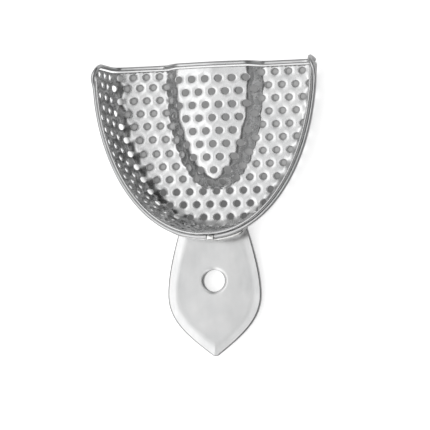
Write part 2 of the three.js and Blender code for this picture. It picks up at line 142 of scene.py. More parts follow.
def nearest_angle(x, y):
    """The angle of the ellipse's point nearest to (x, y), by Newton's method."""
    a, b = FLOOR_HALF_WIDTH, FLOOR_DEPTH
    t = np.arctan2(-y * a, x * b)
    for _ in range(8):
        c, s = np.cos(t), np.sin(t)
        dx, dy = x - a * c, y + b * s
        slope = -dx * a * s - dy * b * c
        t = t - slope / (-dx * a * c + dy * b * s - (a * s) ** 2 - (b * c) ** 2)
    return t


def wall_lean(t):
    w = np.arcsin(np.clip(-ellipse_normal(t)[..., 1], 0, 1)) / (math.pi / 2)
    at_side = LEAN_SIDE * (1 - w) * (1 - 2 * w)
    at_quarter = LEAN_QUARTER * 4 * w * (1 - w)
    at_front = LEAN_FRONT * w * (2 * w - 1)
    return np.radians(at_side + at_quarter + at_front)


def wall_section(t, distance):
    lean = wall_lean(t)
    turn = math.pi / 2 - lean
    angle = np.minimum(distance / WALL_FOOT, turn)
    straight = np.maximum(distance - WALL_FOOT * turn, 0)
    out = WALL_FOOT * np.sin(angle) + straight * np.sin(lean)
    up = WALL_FOOT * (1 - np.cos(angle)) + straight * np.cos(lean)
    return out, up


def wall_length(t, height):
    lean = wall_lean(t)
    rise = height - SHEET / 2 - WALL_FOOT * (1 - np.sin(lean))
    return WALL_FOOT * (math.pi / 2 - lean) + rise / np.cos(lean)


def wall_top(t):
    forward = np.clip(FLOOR_DEPTH * np.sin(t) / BACK_DROP_LENGTH, 0, 1)
    return WALL_HEIGHT - BACK_DROP * (1 - forward) ** 2


def outline_at(x, y, outline):
    """An outline's value, 1 on it and less inside, and its distance, to first order."""
    px, py = outline["power_x"], outline["power_y"]
    ax = np.hypot(x - outline["middle"], TIP_ROUND) / outline["half_width"]
    ay = np.maximum(-y, 0.01) / outline["depth"]
    value = ax ** px + ay ** py
    slope_x = px * ax ** (px - 1) / outline["half_width"]
    slope_y = py * ay ** (py - 1) / outline["depth"]
    return value, (value - 1) / np.hypot(slope_x, slope_y)


def eased_slope(w):
    e = PALATE_EASE
    w = np.clip(w, 0, 1)
    start = w * w / (2 * e * (1 - e))
    end = 1 - (1 - w) ** 2 / (2 * e * (1 - e))
    return np.where(w < e, start, np.where(w > 1 - e, end, (w - e / 2) / (1 - e)))


def palate_height(x, y):
    foot, from_foot = outline_at(x, y, PALATE_FOOT)
    top, from_top = outline_at(x, y, PALATE_TOP)
    slope = PALATE_HEIGHT * eased_slope(from_foot / (from_foot - from_top + 1e-12))
    height = np.where(top <= 1, PALATE_HEIGHT + PALATE_CROWN * (1 - top), slope)
    return np.where(foot >= 1, 0, height)


def sheet_point(blank):
    """The middle of the sheet's thickness at points of the flat blank, once bent up."""
    x, y = blank[..., 0], blank[..., 1]
    inside = (x / FLOOR_HALF_WIDTH) ** 2 + (y / FLOOR_DEPTH) ** 2 <= 1
    wall_x = np.where(inside, FLOOR_HALF_WIDTH * 1.2, x)
    wall_y = np.where(inside, 0.0, y)
    t = nearest_angle(wall_x, wall_y)
    foot = ellipse_point(t)
    out, up = wall_section(t, np.hypot(wall_x - foot[..., 0], wall_y - foot[..., 1]))
    flat = foot + ellipse_normal(t) * out[..., None]
    on_wall = np.concatenate([flat, (SHEET / 2 + up)[..., None]], -1)
    on_floor = np.stack([x, y, SHEET / 2 + palate_height(x, y)], -1)
    return np.where(inside[..., None], on_floor, on_wall)


def sheet_normal(blank, step=0.02):
    """The sheet's normal, pointing to the open side."""
    along_x = sheet_point(blank + [step, 0]) - sheet_point(blank - [step, 0])
    along_y = sheet_point(blank + [0, step]) - sheet_point(blank - [0, step])
    return unit(np.cross(along_x, along_y))


def offset_point(blank, distance):
    return sheet_point(blank) + sheet_normal(blank) * np.asarray(distance)[..., None]


def blank_on_wall(t, distance):
    return ellipse_point(t) + ellipse_normal(t) * np.asarray(distance)[..., None]


def blank_outline(wall_steps, corner_steps, back_steps):
    """The blank's outline, counter-clockwise from the front: right wall, back edge, left wall."""
    low, high = 0.0, 1.0
    for _ in range(40):
        t = np.array((low + high) / 2)
        is_behind = blank_on_wall(t, wall_length(t, wall_top(t)))[1] > BACK_CUT - CORNER_RADIUS
        low, high = (float(t), high) if is_behind else (low, float(t))
    t = math.pi / 2 + (low - math.pi / 2) * np.arange(wall_steps) / wall_steps
    wall = blank_on_wall(t, wall_length(t, wall_top(t)))
    t = np.array(low)
    corner_x = blank_on_wall(t, wall_length(t, wall_top(t)))[0] - CORNER_RADIUS
    a = math.pi / 2 * np.arange(corner_steps) / corner_steps
    corner = np.stack([corner_x + CORNER_RADIUS * np.cos(a),
                       BACK_CUT - CORNER_RADIUS * (1 - np.sin(a))], -1)
    w = np.arange(back_steps + 1) / back_steps
    back = np.stack([corner_x * (1 - w), np.full_like(w, BACK_CUT)], -1)
    right = np.concatenate([wall, corner, back])
    return np.concatenate([right, right[1:-1][::-1] * [-1, 1]])


# ---- meshes ----

def new_piece(name, node, material, vertices, faces):
    """A smooth mesh piece from points in the form's millimetres, standing for a CAD node."""
    mesh = bpy.data.meshes.new(name)
    placed = (np.asarray(vertices) + FORM_TO_FRAME) * MM
    mesh.from_pydata(placed.tolist(), [], faces)
    mesh.validate()
    mesh.shade_smooth()
    mesh.materials.append(material)
    piece = bpy.data.objects.new(name, mesh)
    bpy.context.scene.collection.objects.link(piece)
    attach(piece, "root")
    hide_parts(node)
    return piece


def grid_faces(rows, columns, first=0, closed_rows=False, closed_columns=False):
    """Quads between the points of a grid whose rows are one after another."""
    faces = []
    for i in range(rows if closed_rows else rows - 1):
        for j in range(columns if closed_columns else columns - 1):
            a, b = i, (i + 1) % rows
            c, d = j, (j + 1) % columns
            faces.append([first + a * columns + c, first + b * columns + c,
                          first + b * columns + d, first + a * columns + d])
    return faces


def end_caps(rows, columns):
    """The first and the last row of a grid as two faces that close it."""
    last = (rows - 1) * columns
    return [list(range(columns)), [last + i for i in reversed(range(columns))]]


# ---- the perforated sheet ----

def drawn(points):
    """Where drawing the sheet has moved the points of the even pattern of holes."""
    x, y = points[..., 0], points[..., 1]
    inside = -outline_at(x, y, PALATE_FOOT)[1]
    palate = smoothstep(inside, PALATE_FLOW["start"], PALATE_FLOW["end"])
    left = smoothstep(-x, *LEFT_FLOW["aside"]) * smoothstep(y, *LEFT_FLOW["back"])
    held = 1 - smoothstep(y, *EDGE_ROW)
    moved_x = x + PALATE_FLOW["x"] * palate + LEFT_FLOW["x"] * left
    moved_y = y + PALATE_FLOW["y"] * palate + LEFT_FLOW["y"] * left * held
    return np.stack([moved_x, moved_y], -1)


def clip_to_outline(polygon, outline):
    """The part of a polygon that is inside a convex outline."""
    kept = list(polygon)
    for a, b in zip(outline, np.roll(outline, -1, axis=0)):
        side = [(b[0] - a[0]) * (p[1] - a[1]) - (b[1] - a[1]) * (p[0] - a[0]) for p in kept]
        following = []
        for i, p in enumerate(kept):
            q, sp, sq = kept[(i + 1) % len(kept)], side[i], side[(i + 1) % len(kept)]
            if sp >= 0:
                following.append(p)
            if (sp >= 0) != (sq >= 0):
                following.append(p + (q - p) * sp / (sp - sq))
        kept = following
        if not kept:
            break
    return kept


def split_sides(polygon):
    """A polygon whose sides are cut into even pieces, the same way from either end."""
    points = []
    for a, b in zip(polygon, polygon[1:] + polygon[:1]):
        length = np.linalg.norm(b - a)
        if length < 1e-4:
            continue
        count = max(1, math.ceil(round(length / CELL_STEP, 3)))
        points.extend(a + (b - a) * i / count for i in range(count))
    return np.array(points)


def distance_inside(point, outline):
    along = np.roll(outline, -1, axis=0) - outline
    away = point - outline
    return np.min((along[:, 0] * away[:, 1] - along[:, 1] * away[:, 0]) / np.linalg.norm(along, axis=1))


def sheet_cells(outline):
    """The cells of the staggered rows: each a six-sided tile with its hole's middle, or none."""
    near = PITCH_Y / 2 - PITCH_X ** 2 / (8 * PITCH_Y)
    far = PITCH_Y - near
    half = PITCH_X / 2
    corners = np.array([[half, near], [0, far], [-half, near], [-half, -near], [0, -far], [half, -near]])
    for row in range(-6, 14):
        for column in range(-15, 16):
            middle = np.array([(column + row % 2 * 0.5) * PITCH_X, FIRST_ROW + row * PITCH_Y])
            tile = clip_to_outline(drawn(middle + corners), outline)
            if len(tile) < 3:
                continue
            centre = drawn(middle)
            is_open = distance_inside(centre, outline) > HOLE_RADIUS + EDGE_MARGIN
            yield split_sides(tile), centre if is_open else None


class Blank:
    """Points of the blank, each at a distance from the sheet's middle, and the faces on them."""

    def __init__(self):
        self.points, self.faces, self.known = [], [], {}

    def index(self, point, distance):
        key = (round(point[0] * 2e3), round(point[1] * 2e3), round(distance * 1e3))
        if key not in self.known:
            self.known[key] = len(self.points)
            self.points.append((point[0], point[1], distance))
        return self.known[key]

    def band(self, ring_a, ring_b, flip):
        for i in range(len(ring_a)):
            j = (i + 1) % len(ring_a)
            self.add([ring_a[i], ring_a[j], ring_b[j], ring_b[i]], flip)

    def add(self, face, flip):
        face = [v for i, v in enumerate(face) if v != face[i - 1]]
        if len(face) >= 3:
            self.faces.append(face[::-1] if flip else face)

    def ring(self, points, distance):
        return [self.index(p, distance) for p in points]


def hole_profile(side):
    """A hole's eased edge on one face: its radius and its distance from the sheet's middle."""
    above = side > 0
    out, down = (HOLE_EASE, HOLE_EASE_DOWN) if above else (HOLE_EASE_BELOW, HOLE_EASE_BELOW)
    face = SHEET / 2 - (HOLE_DISH if above else 0)
    angles = np.radians([0, 25, 50, 75, 90])
    radii = HOLE_RADIUS + out * (1 - np.sin(angles))
    return list(zip(radii, side * (face - down * (1 - np.cos(angles)))))


def add_cell(blank, tile, centre):
    """Both faces of one cell, plain or with its hole's edge and wall."""
    half = SHEET / 2
    if centre is None:
        middle = tile.mean(axis=0)
        for side, flip in ((half, False), (-half, True)):
            outer = blank.ring(tile, side)
            inner = blank.ring(middle + (tile - middle) * 0.5, side)
            blank.band(outer, inner, flip)
            heart = blank.index(middle, side)
            for i in range(len(inner)):
                blank.add([inner[i], inner[(i + 1) % len(inner)], heart], flip)
        return
    way = unit(tile - centre)
    for sign, flip in ((1, False), (-1, True)):
        profile = hole_profile(sign)
        first = centre + way * (HOLE_RADIUS + HOLE_EASE)
        rings = [blank.ring(tile, sign * half), blank.ring(tile + (first - tile) * 0.4, sign * half)]
        rings += [blank.ring(centre + way * r, h) for r, h in profile]
        for ring_a, ring_b in zip(rings, rings[1:]):
            blank.band(ring_a, ring_b, flip)
        if sign > 0:
            upper = rings[-1]
    blank.band(upper, rings[-1], False)


def close_edge(blank):
    """Rounds the sheet's cut edge: its two faces are drawn in a little and joined by a bulge."""
    used = {(a, b) for face in blank.faces for a, b in zip(face, face[1:] + face[:1])}
    open_edges = [(a, b) for a, b in used if (b, a) not in used and blank.points[a][2] > 0]
    after = dict(open_edges)
    start = open_edges[0][0]
    loop = [start]
    while after[loop[-1]] != start:
        loop.append(after[loop[-1]])
    rim = np.array([blank.points[i][:2] for i in loop])
    along = unit(np.roll(rim, -1, axis=0) - np.roll(rim, 1, axis=0))
    inward = np.stack([-along[:, 1], along[:, 0]], -1)
    half = SHEET / 2
    lower = [blank.index(p, -half) for p in rim]
    bulge = [blank.ring(rim + inward * inset, height) for inset, height in CUT_EDGE_BULGE]
    rings = [loop] + bulge + [lower]
    for ring_a, ring_b in zip(rings, rings[1:]):
        blank.band(ring_b, ring_a, False)
    for ring, height in ((loop, half), (lower, -half)):
        for i, (x, y) in zip(ring, rim + inward * CUT_EDGE_INSET):
            blank.points[i] = (x, y, height)


def build_sheet(material):
    blank = Blank()
    outline = blank_outline(60, 8, 24)
    for tile, centre in sheet_cells(outline):
        add_cell(blank, tile, centre)
    close_edge(blank)
    points = np.array(blank.points)
    vertices = offset_point(points[:, :2], points[:, 2])
    return new_piece("perforated_sheet", "tray_shell", material, vertices, blank.faces)


# ---- rods and beads ----

def resample(points, count, closed=False):
    """A smooth line through points, cut into even steps."""
    path = np.concatenate([points, points[:1]]) if closed else np.asarray(points)
    travelled = np.concatenate([[0], np.cumsum(np.linalg.norm(np.diff(path, axis=0), axis=1))])
    wanted = np.linspace(0, travelled[-1], count + 1 if closed else count)
    line = np.stack([np.interp(wanted, travelled, path[:, k]) for k in range(3)], -1)
    return line[:-1] if closed else line


def soften(line, rounds):
    """Evens out a line's corners and keeps its two ends."""
    for _ in range(rounds):
        line = np.concatenate([line[:1], (line[:-2] + 2 * line[1:-1] + line[2:]) / 4, line[-1:]])
    return line


def wander(count, seed, swings):
    """A gentle random swing between about -1 and 1 along a line, the same on each run."""
    random = np.random.default_rng(seed)
    t = np.linspace(0, 2 * math.pi, count)
    total = np.zeros(count)
    for n in range(1, swings + 1):
        swing = np.sin(n * t + random.uniform(0, 2 * math.pi))
        total += swing * random.uniform(0.4, 1) / math.sqrt(swings)
    return total


def rod(line, radii, sides):
    """A round rod along a line, with a radius for each point and flat caps at its two ends."""
    along = unit(np.gradient(line, axis=0))
    across = unit(np.cross(along, [0.0, 0.0, 1.0]))
    upward = np.cross(across, along)
    angles = np.linspace(0, 2 * math.pi, sides, endpoint=False)
    spread = across[:, None] * np.cos(angles)[:, None] + upward[:, None] * np.sin(angles)[:, None]
    vertices = (line[:, None] + spread * np.asarray(radii)[:, None, None]).reshape(-1, 3)
    faces = grid_faces(len(line), sides, closed_columns=True)
    return vertices, faces + end_caps(len(line), sides)


def tapered(count, radius, ends, seed, roughness):
    """Radii of a bead: full in the middle, rounded at both ends, and a little uneven."""
    w = np.linspace(0, 1, count)
    from_end = np.minimum(w, 1 - w) / ends
    rounding = np.sqrt(1 - (1 - np.clip(from_end, 0, 1)) ** 2)
    return radius * (0.12 + 0.88 * rounding) * (1 - roughness * (0.5 + 0.5 * wander(count, seed, 9)))


# ---- the rim wire and its joint ----

def wire_line():
    """The wire's middle, round the sheet's whole edge, from one side of the joint to the other."""
    outline = blank_outline(160, 24, 90)
    along = unit(sheet_point(np.roll(outline, -1, axis=0)) - sheet_point(np.roll(outline, 1, axis=0)))
    outward = -sheet_normal(outline)
    off_edge = -np.cross(along, outward)
    back = smoothstep(outline[:, 1], BACK_CUT - 2 * CORNER_RADIUS, BACK_CUT)
    turn = np.radians(WIRE_TURN_WALL + (WIRE_TURN_BACK - WIRE_TURN_WALL) * back)
    reach = WIRE_RADIUS + GAP + SHEET / 2
    aside = np.where(turn < 0, reach / np.cos(turn), reach)
    line = sheet_point(outline)
    line += outward * (aside * np.cos(turn))[:, None] + off_edge * (aside * np.sin(turn))[:, None]
    return line


def wire_joint():
    """Where the wire's ends meet, and the way the wire runs there."""
    line = wire_line()
    along = unit(line[JOINT_STEPS_ASIDE + 4] - line[JOINT_STEPS_ASIDE - 4])
    return line[JOINT_STEPS_ASIDE], along


def build_wire(material):
    at, along = wire_joint()
    line = np.roll(wire_line(), -JOINT_STEPS_ASIDE, axis=0)
    end = JOINT_HALF_LENGTH * WIRE_INTO_JOINT
    rest = line[np.linalg.norm(line - at, axis=1) > end + CLEAR_OF_POINTS]
    path = np.concatenate([[at + along * end], rest, [at - along * end]])
    line = soften(resample(path, 620), 12)
    radii = WIRE_RADIUS * (0.975 + 0.02 * wander(len(line), 3, 14))
    vertices, faces = rod(line, radii, 20)
    return new_piece("wire", "rim_wire", material, vertices, faces)


def build_joint(material):
    """The block of solder over the wire's meeting ends: a barrel with eased, uneven shoulders."""
    at, along = wire_joint()
    outward = unit(np.array([along[1], -along[0], 0]))
    centre = at + outward * JOINT_SHIFT
    count, sides = 26, 28
    x = -np.cos(np.linspace(0, math.pi, count)) * JOINT_HALF_LENGTH
    swell = (1 - np.abs(x / JOINT_HALF_LENGTH) ** 5) ** 0.3
    angles = np.linspace(0, 2 * math.pi, sides, endpoint=False)
    square = (np.abs(np.cos(angles)) ** 3 + np.abs(np.sin(angles)) ** 3) ** (-1 / 3)
    uneven = 1 - 0.05 * (1 + np.sin(3 * angles[None] + 2.2 * x[:, None]))
    radius = JOINT_RADIUS * 0.94 * np.clip(swell, 0.05, 1)[:, None] * square[None] * uneven
    upward = np.cross(outward, along)
    across = radius[..., None] * (np.cos(angles)[:, None] * outward + np.sin(angles)[:, None] * upward)
    vertices = (centre + x[:, None, None] * along + across).reshape(-1, 3)
    faces = grid_faces(count, sides, closed_columns=True) + end_caps(count, sides)
    return new_piece("wire_joint", "rim_joint_solder", material, vertices, faces)


# ---- the handle ----

def bezier(a, b, c, d, count):
    w = np.linspace(0, 1, count, endpoint=False)[:, None]
    a, b, c, d = (np.array(p, float) for p in (a, b, c, d))
    return a * (1 - w) ** 3 + 3 * b * w * (1 - w) ** 2 + 3 * c * w * w * (1 - w) + d * w ** 3


def tab_angle():
    return math.pi / 2 - math.acos(TAB_HALF_WIDTH / (FLOOR_HALF_WIDTH + WALL_FOOT))


def tab_top():
    drop = math.tan(math.radians(-WIRE_TURN_WALL)) * (WIRE_RADIUS + GAP + SHEET / 2)
    return WALL_HEIGHT - drop - WIRE_RADIUS - TAB_UNDER_WIRE


def handle_outline():
    """The leaf outline: along the root's arc from its left end, then round by the tip."""
    half, widest = HANDLE_HALF_WIDTH, HANDLE_WIDEST_AT
    t = math.pi / 2 + tab_angle() * np.linspace(1, -1, 41)
    root = blank_on_wall(t, WALL_FOOT + SHEET / 2 + 4 * GAP)
    x, y = root[-1]
    root_way = (x + LEAF_ROOT_OUT, y - LEAF_ROOT_DOWN)
    tip_way = (LEAF_TIP_OUT, HANDLE_TIP + LEAF_TIP_UP)
    tip_right = (LEAF_TIP_HALF_WIDTH, HANDLE_TIP + LEAF_TIP_RISE)
    tip_left = (-LEAF_TIP_HALF_WIDTH, HANDLE_TIP + LEAF_TIP_RISE)
    tip_x, tip_y = LEAF_TIP_ROUND[0], HANDLE_TIP + LEAF_TIP_ROUND[1]
    side = bezier((x, y), root_way, (half, widest + LEAF_ABOVE), (half, widest), 60)
    shoulder = bezier((half, widest), (half, widest - LEAF_BELOW), tip_way, tip_right, 60)
    tip_turn = bezier(tip_right, (tip_x, tip_y), (-tip_x, tip_y), tip_left, 8)
    left = np.concatenate([side, shoulder])[::-1] * [-1, 1]
    return np.concatenate([root[:-1], side, shoulder, tip_turn, left[:-1]])


def plate_mesh():
    """The plate: rings from the hanging hole to the outline, over the top and back underneath."""
    outline = handle_outline()
    centre = np.array([0.0, HANG_HOLE_Y])
    way = unit(outline - centre)
    reach = np.linalg.norm(outline - centre, axis=1)
    bottom = HANDLE_TOP - HANDLE_THICKNESS
    edge = HANDLE_EDGE
    drop_at_edge = HANDLE_ROLL * (1 - edge / HANDLE_ROLL_WIDTH)
    rings = []

    def at_radius(radius, height):
        flat = centre + way * radius
        rings.append(np.concatenate([flat, np.full((len(flat), 1), height)], -1))

    def at_share(share, from_edge, height):
        radius = COUNTERSINK_RADIUS + (reach - from_edge - COUNTERSINK_RADIUS) * share
        flat = centre + way * radius[:, None]
        gap = np.min(np.linalg.norm(flat[:, None] - outline[None], axis=2), axis=1)
        roll = HANDLE_ROLL * np.clip(1 - gap / HANDLE_ROLL_WIDTH, 0, 1) if height is None else 0
        z = np.full(len(flat), HANDLE_TOP if height is None else height) - roll
        rings.append(np.concatenate([flat, z[:, None]], -1))

    at_radius(HANG_HOLE_RADIUS, bottom + 0.25)
    at_radius(HANG_HOLE_RADIUS, HANDLE_TOP - COUNTERSINK_START)
    for radius, drop in COUNTERSINK:
        at_radius(radius, HANDLE_TOP - drop)
    for share in (0.06, 0.14, 0.24, 0.36, 0.48, 0.6, 0.7, 0.78, 0.85, 0.9, 0.94, 0.97, 1):
        at_share(share, edge + 0.02, None)
    for angle in (20, 45, 70, 90):
        a = math.radians(angle)
        at_share(1, edge * (1 - math.sin(a)), HANDLE_TOP - drop_at_edge - edge * (1 - math.cos(a)))
    for angle in (90, 60, 30, 0):
        a = math.radians(angle)
        at_share(1, edge * (1 - math.sin(a)), bottom + edge * (1 - math.cos(a)))
    for share in (0.9, 0.6, 0.3):
        at_share(share, edge, bottom)
    at_radius(HANG_HOLE_RADIUS + 0.25, bottom)
    at_radius(HANG_HOLE_RADIUS + 0.07, bottom + 0.08)
    vertices = np.concatenate(rings)
    return vertices, grid_faces(len(rings), len(outline), closed_rows=True, closed_columns=True)


def tab_mesh():
    """The upturned end of the plate against the front wall, with eased edges."""
    columns, rows = 48, 22
    near = SHEET / 2 + GAP
    ease = TAB_EDGE
    low, high = HANDLE_TOP - HANDLE_THICKNESS + 0.75, tab_top()
    across = np.linspace(-1, 1, columns)
    upward = np.linspace(0, 1, rows)
    layers = []
    for depth, inset in ((near, ease), (near + ease * 0.3, ease * 0.3), (near + ease, 0),
                         (near + TAB_THICKNESS - ease, 0),
                         (near + TAB_THICKNESS - ease * 0.3, ease * 0.3),
                         (near + TAB_THICKNESS, ease)):
        side = 1 - inset / TAB_HALF_WIDTH
        t = math.pi / 2 - tab_angle() * side * across[:, None] + 0 * upward
        height = low + inset + (high - low - 2 * inset) * upward + 0 * across[:, None]
        layers.append(offset_point(blank_on_wall(t, wall_length(t, height)), np.full(t.shape, -depth)))
    per_layer = columns * rows
    faces = [face[::-1] for face in grid_faces(columns, rows)]
    faces += grid_faces(columns, rows, first=(len(layers) - 1) * per_layer)
    rim = [i * rows for i in range(columns)]
    rim += [(columns - 1) * rows + j for j in range(1, rows)]
    rim += [i * rows + rows - 1 for i in reversed(range(columns - 1))]
    rim += list(reversed(range(1, rows - 1)))
    for layer in range(len(layers) - 1):
        base = layer * per_layer
        for a, b in zip(rim, rim[1:] + rim[:1]):
            faces.append([base + a, base + b, base + per_layer + b, base + per_layer + a])
    return np.concatenate([layer.reshape(-1, 3) for layer in layers]), faces


def build_handle(material):
    plate, plate_faces = plate_mesh()
    tab, tab_faces = tab_mesh()
    faces = plate_faces + [[i + len(plate) for i in face] for face in tab_faces]
    return new_piece("leaf_handle", "handle", material, np.concatenate([plate, tab]), faces)


# ---- the runs of braze ----

def braze_run(name, node, material, line, radius, seed, fullness=1):
    """A bead of braze along a line; fullness thins its radius where it is under 1."""
    line = soften(resample(line, BRAZE_STEPS), 4)
    radii = tapered(len(line), radius, 0.07, seed, 0.16) * fullness
    vertices, faces = rod(line, radii, 18)
    return new_piece(name, node, material, vertices, faces)


def build_braze(material):
    """The runs over the tab, down its two sides and under the handle's root."""
    w = np.linspace(-1, 1, 13)
    t = math.pi / 2 - tab_angle() * w
    along = np.linspace(-1, 1, BRAZE_STEPS)
    fullness = BRAZE_THIN + (1 - BRAZE_THIN) * smoothstep(along, -0.2, 0.35)
    tucked = BRAZE_TOP * (1 - np.interp(w, along, fullness))
    aside = SHEET / 2 + 2 * GAP + TAB_THICKNESS + 0.1 * BRAZE_TOP - 0.8 * tucked
    heights = tab_top() - BRAZE_BELOW_TAB_TOP + 0.2 * tucked
    top = offset_point(blank_on_wall(t, wall_length(t, heights)), -aside)
    braze_run("braze_over_handle", "handle_braze_top", material, top, BRAZE_TOP, 11, fullness)
    reach = tab_angle() + (BRAZE_SIDE + GAP) / (FLOOR_HALF_WIDTH * 0.9)
    for side, name in ((1, "right"), (-1, "left")):
        heights = np.linspace(HANDLE_TOP + BRAZE_ABOVE_PLATE, tab_top() - BRAZE_SIDE, 5)
        t = np.full(5, math.pi / 2 - side * reach)
        line = offset_point(blank_on_wall(t, wall_length(t, heights)),
                            np.full(5, -(SHEET / 2 + GAP + BRAZE_SIDE)))
        braze_run("braze_" + name, "handle_braze_" + name, material, line, BRAZE_SIDE, 20 + side)
    t = math.pi / 2 - tab_angle() * BRAZE_UNDER_REACH * w
    flat = blank_on_wall(t, np.full(13, WALL_FOOT + SHEET / 2 + 2 * GAP + BRAZE_UNDER))
    height = HANDLE_TOP - HANDLE_THICKNESS - GAP - BRAZE_UNDER
    under = np.concatenate([flat, np.full((13, 1), height)], -1)
    braze_run("braze_under_handle", "handle_braze_under", material, under, BRAZE_UNDER, 31)


# ---- materials ----

def node_of(tree, kind, **inputs):
    node = tree.nodes.new(kind)
    for name, value in inputs.items():
        node.inputs[name.replace("_", " ")].default_value = value
    return node


def noise(tree, coordinates, scale, detail, stretch=(1, 1, 1)):
    """Cloudy variation in the object's own place, its scale in features per metre."""
    mapping = node_of(tree, "ShaderNodeMapping", Scale=stretch)
    tree.links.new(coordinates, mapping.inputs["Vector"])
    texture = node_of(tree, "ShaderNodeTexNoise", Scale=scale, Detail=detail, Roughness=0.55)
    tree.links.new(mapping.outputs["Vector"], texture.inputs["Vector"])
    return texture.outputs["Fac"]


def spread(tree, value, low, high):
    """Maps a noise's middle range to a range of values."""
    node = tree.nodes.new("ShaderNodeMapRange")
    tree.links.new(value, node.inputs["Value"])
    for name, number in (("From Min", 0.3), ("From Max", 0.7), ("To Min", low), ("To Max", high)):
        node.inputs[name].default_value = number
    return node.outputs["Result"]


def tinted(tree, value, dark, light):
    ramp = tree.nodes.new("ShaderNodeValToRGB")
    ramp.color_ramp.elements[0].position = 0.3
    ramp.color_ramp.elements[1].position = 0.7
    ramp.color_ramp.elements[0].color = (*dark, 1)
    ramp.color_ramp.elements[1].color = (*light, 1)
    tree.links.new(value, ramp.inputs["Fac"])
    return ramp.outputs["Color"]


def steel(name, dark, light, roughness, waves, grain, streak=(1, 1, 1)):
    """Stainless steel: cloudy tone, uneven polish, slow waves of the surface and a fine grain."""
    material = bpy.data.materials.new(name)
    material.use_nodes = True
    tree = material.node_tree
    shader = tree.nodes["Principled BSDF"]
    shader.inputs["Metallic"].default_value = 1.0
    place = tree.nodes.new("ShaderNodeTexCoord").outputs["Object"]
    tree.links.new(tinted(tree, noise(tree, place, 140, 5), dark, light), shader.inputs["Base Color"])
    polish = spread(tree, noise(tree, place, 420, 6, streak), *roughness)
    tree.links.new(polish, shader.inputs["Roughness"])
    normal = None
    for scale, detail, distance, stretch in ((*waves, (1, 1, 1)), (*grain, streak)):
        bump = node_of(tree, "ShaderNodeBump", Strength=1.0, Distance=distance)
        tree.links.new(noise(tree, place, scale, detail, stretch), bump.inputs["Height"])
        if normal is not None:
            tree.links.new(normal, bump.inputs["Normal"])
        normal = bump.outputs["Normal"]
    tree.links.new(normal, shader.inputs["Normal"])
    return material


def sheet_steel():
    return steel("drawn_sheet", (0.66, 0.665, 0.67), (0.80, 0.80, 0.80), (0.2, 0.32),
                 waves=(260, 2, 0.00006), grain=(2600, 3, 0.000004))


def wire_steel():
    return steel("polished_wire", (0.62, 0.625, 0.63), (0.76, 0.76, 0.76), (0.26, 0.38),
                 waves=(300, 2, 0.00003), grain=(3000, 3, 0.000002))


def handle_steel():
    return steel("buffed_handle", (0.64, 0.644, 0.648), (0.70, 0.70, 0.70), (0.2, 0.26),
                 waves=(70, 1, 0.00022), grain=(1800, 3, 0.0000012), streak=(2, 0.5, 1))


def braze_metal():
    return steel("silver_braze", (0.76, 0.755, 0.74), (0.90, 0.90, 0.89), (0.14, 0.3),
                 waves=(700, 3, 0.00012), grain=(4000, 3, 0.000004))


# ---- the stage, the light and the camera ----

FLOOR_GLOW = 0.6
# The floor's own grey, and the painted shadow under the tray at its back and at its front.
FLOOR_COLOUR, PAINTED_SHADOW_BACK, PAINTED_SHADOW_FRONT = 0.94, 0.3, 0.12
FLOOR_IN_STEEL = 0.4  # its colour where the steel reflects it, as if its far parts were unlit
SHADOW_EDGE = (1.12, 1.05)  # where the painted shadow under the tray starts and is full, in floor ellipses
SHADOW_FRONT = (-0.62, -0.86)  # the same for the painted shadow's darker front, in floor depths
NEAR_STEEL, NEAR_STEEL_FADE = 1.6, (0.68, 0.42)  # painted shade on the floor where the steel is near, darkest at the holes' rims
STAGE_HALF_WIDTH, STAGE_BELOW = 1.5, 0.0001  # metres


def faded(tree, value, off, on):
    """0 where the value is at `off` or beyond, 1 where it is at `on`, and eased between them."""
    node = tree.nodes.new("ShaderNodeMapRange")
    node.interpolation_type = "SMOOTHSTEP"
    tree.links.new(value, node.inputs["Value"])
    for name, number in (("From Min", off), ("From Max", on)):
        node.inputs[name].default_value = number
    return node.outputs["Result"]


def greys(tree, factor, first, second):
    """A grey that goes from one level to another; a level is a number or another node's colour."""
    mix = tree.nodes.new("ShaderNodeMix")
    mix.data_type = "RGBA"
    colours = [socket for socket in mix.inputs if socket.type == "RGBA"]
    tree.links.new(factor, mix.inputs["Factor"])
    for socket, level in zip(colours, (first, second)):
        if isinstance(level, float):
            socket.default_value = (level, level, level, 1)
        else:
            tree.links.new(level, socket)
    return next(socket for socket in mix.outputs if socket.type == "RGBA")


def painted_shadow_masks(tree, place):
    """The masks of the painted shadow: 1 where the tray's floor covers the stage and 0 elsewhere; and 1
    towards the tray's front, where it is painted darker.
    """
    centre = node_of(tree, "ShaderNodeMapping", Location=(0, -FORM_TO_FRAME[1] * MM, 0))
    tree.links.new(place, centre.inputs["Vector"])
    to_ellipse = (1 / (FLOOR_HALF_WIDTH * MM), 1 / (FLOOR_DEPTH * MM), 0)
    ellipse = node_of(tree, "ShaderNodeMapping", Scale=to_ellipse)
    tree.links.new(centre.outputs["Vector"], ellipse.inputs["Vector"])
    length = tree.nodes.new("ShaderNodeVectorMath")
    length.operation = "LENGTH"
    tree.links.new(ellipse.outputs["Vector"], length.inputs[0])
    split = tree.nodes.new("ShaderNodeSeparateXYZ")
    tree.links.new(centre.outputs["Vector"], split.inputs["Vector"])
    inside = faded(tree, length.outputs["Value"], *SHADOW_EDGE)
    ahead = faded(tree, split.outputs["Y"], 0.0, BACK_CUT * 2 * MM)
    both = tree.nodes.new("ShaderNodeMath")
    both.operation = "MULTIPLY"
    tree.links.new(inside, both.inputs[0])
    tree.links.new(ahead, both.inputs[1])
    forward = faded(tree, split.outputs["Y"], *(y * FLOOR_DEPTH * MM for y in SHADOW_FRONT))
    return both.outputs["Value"], forward


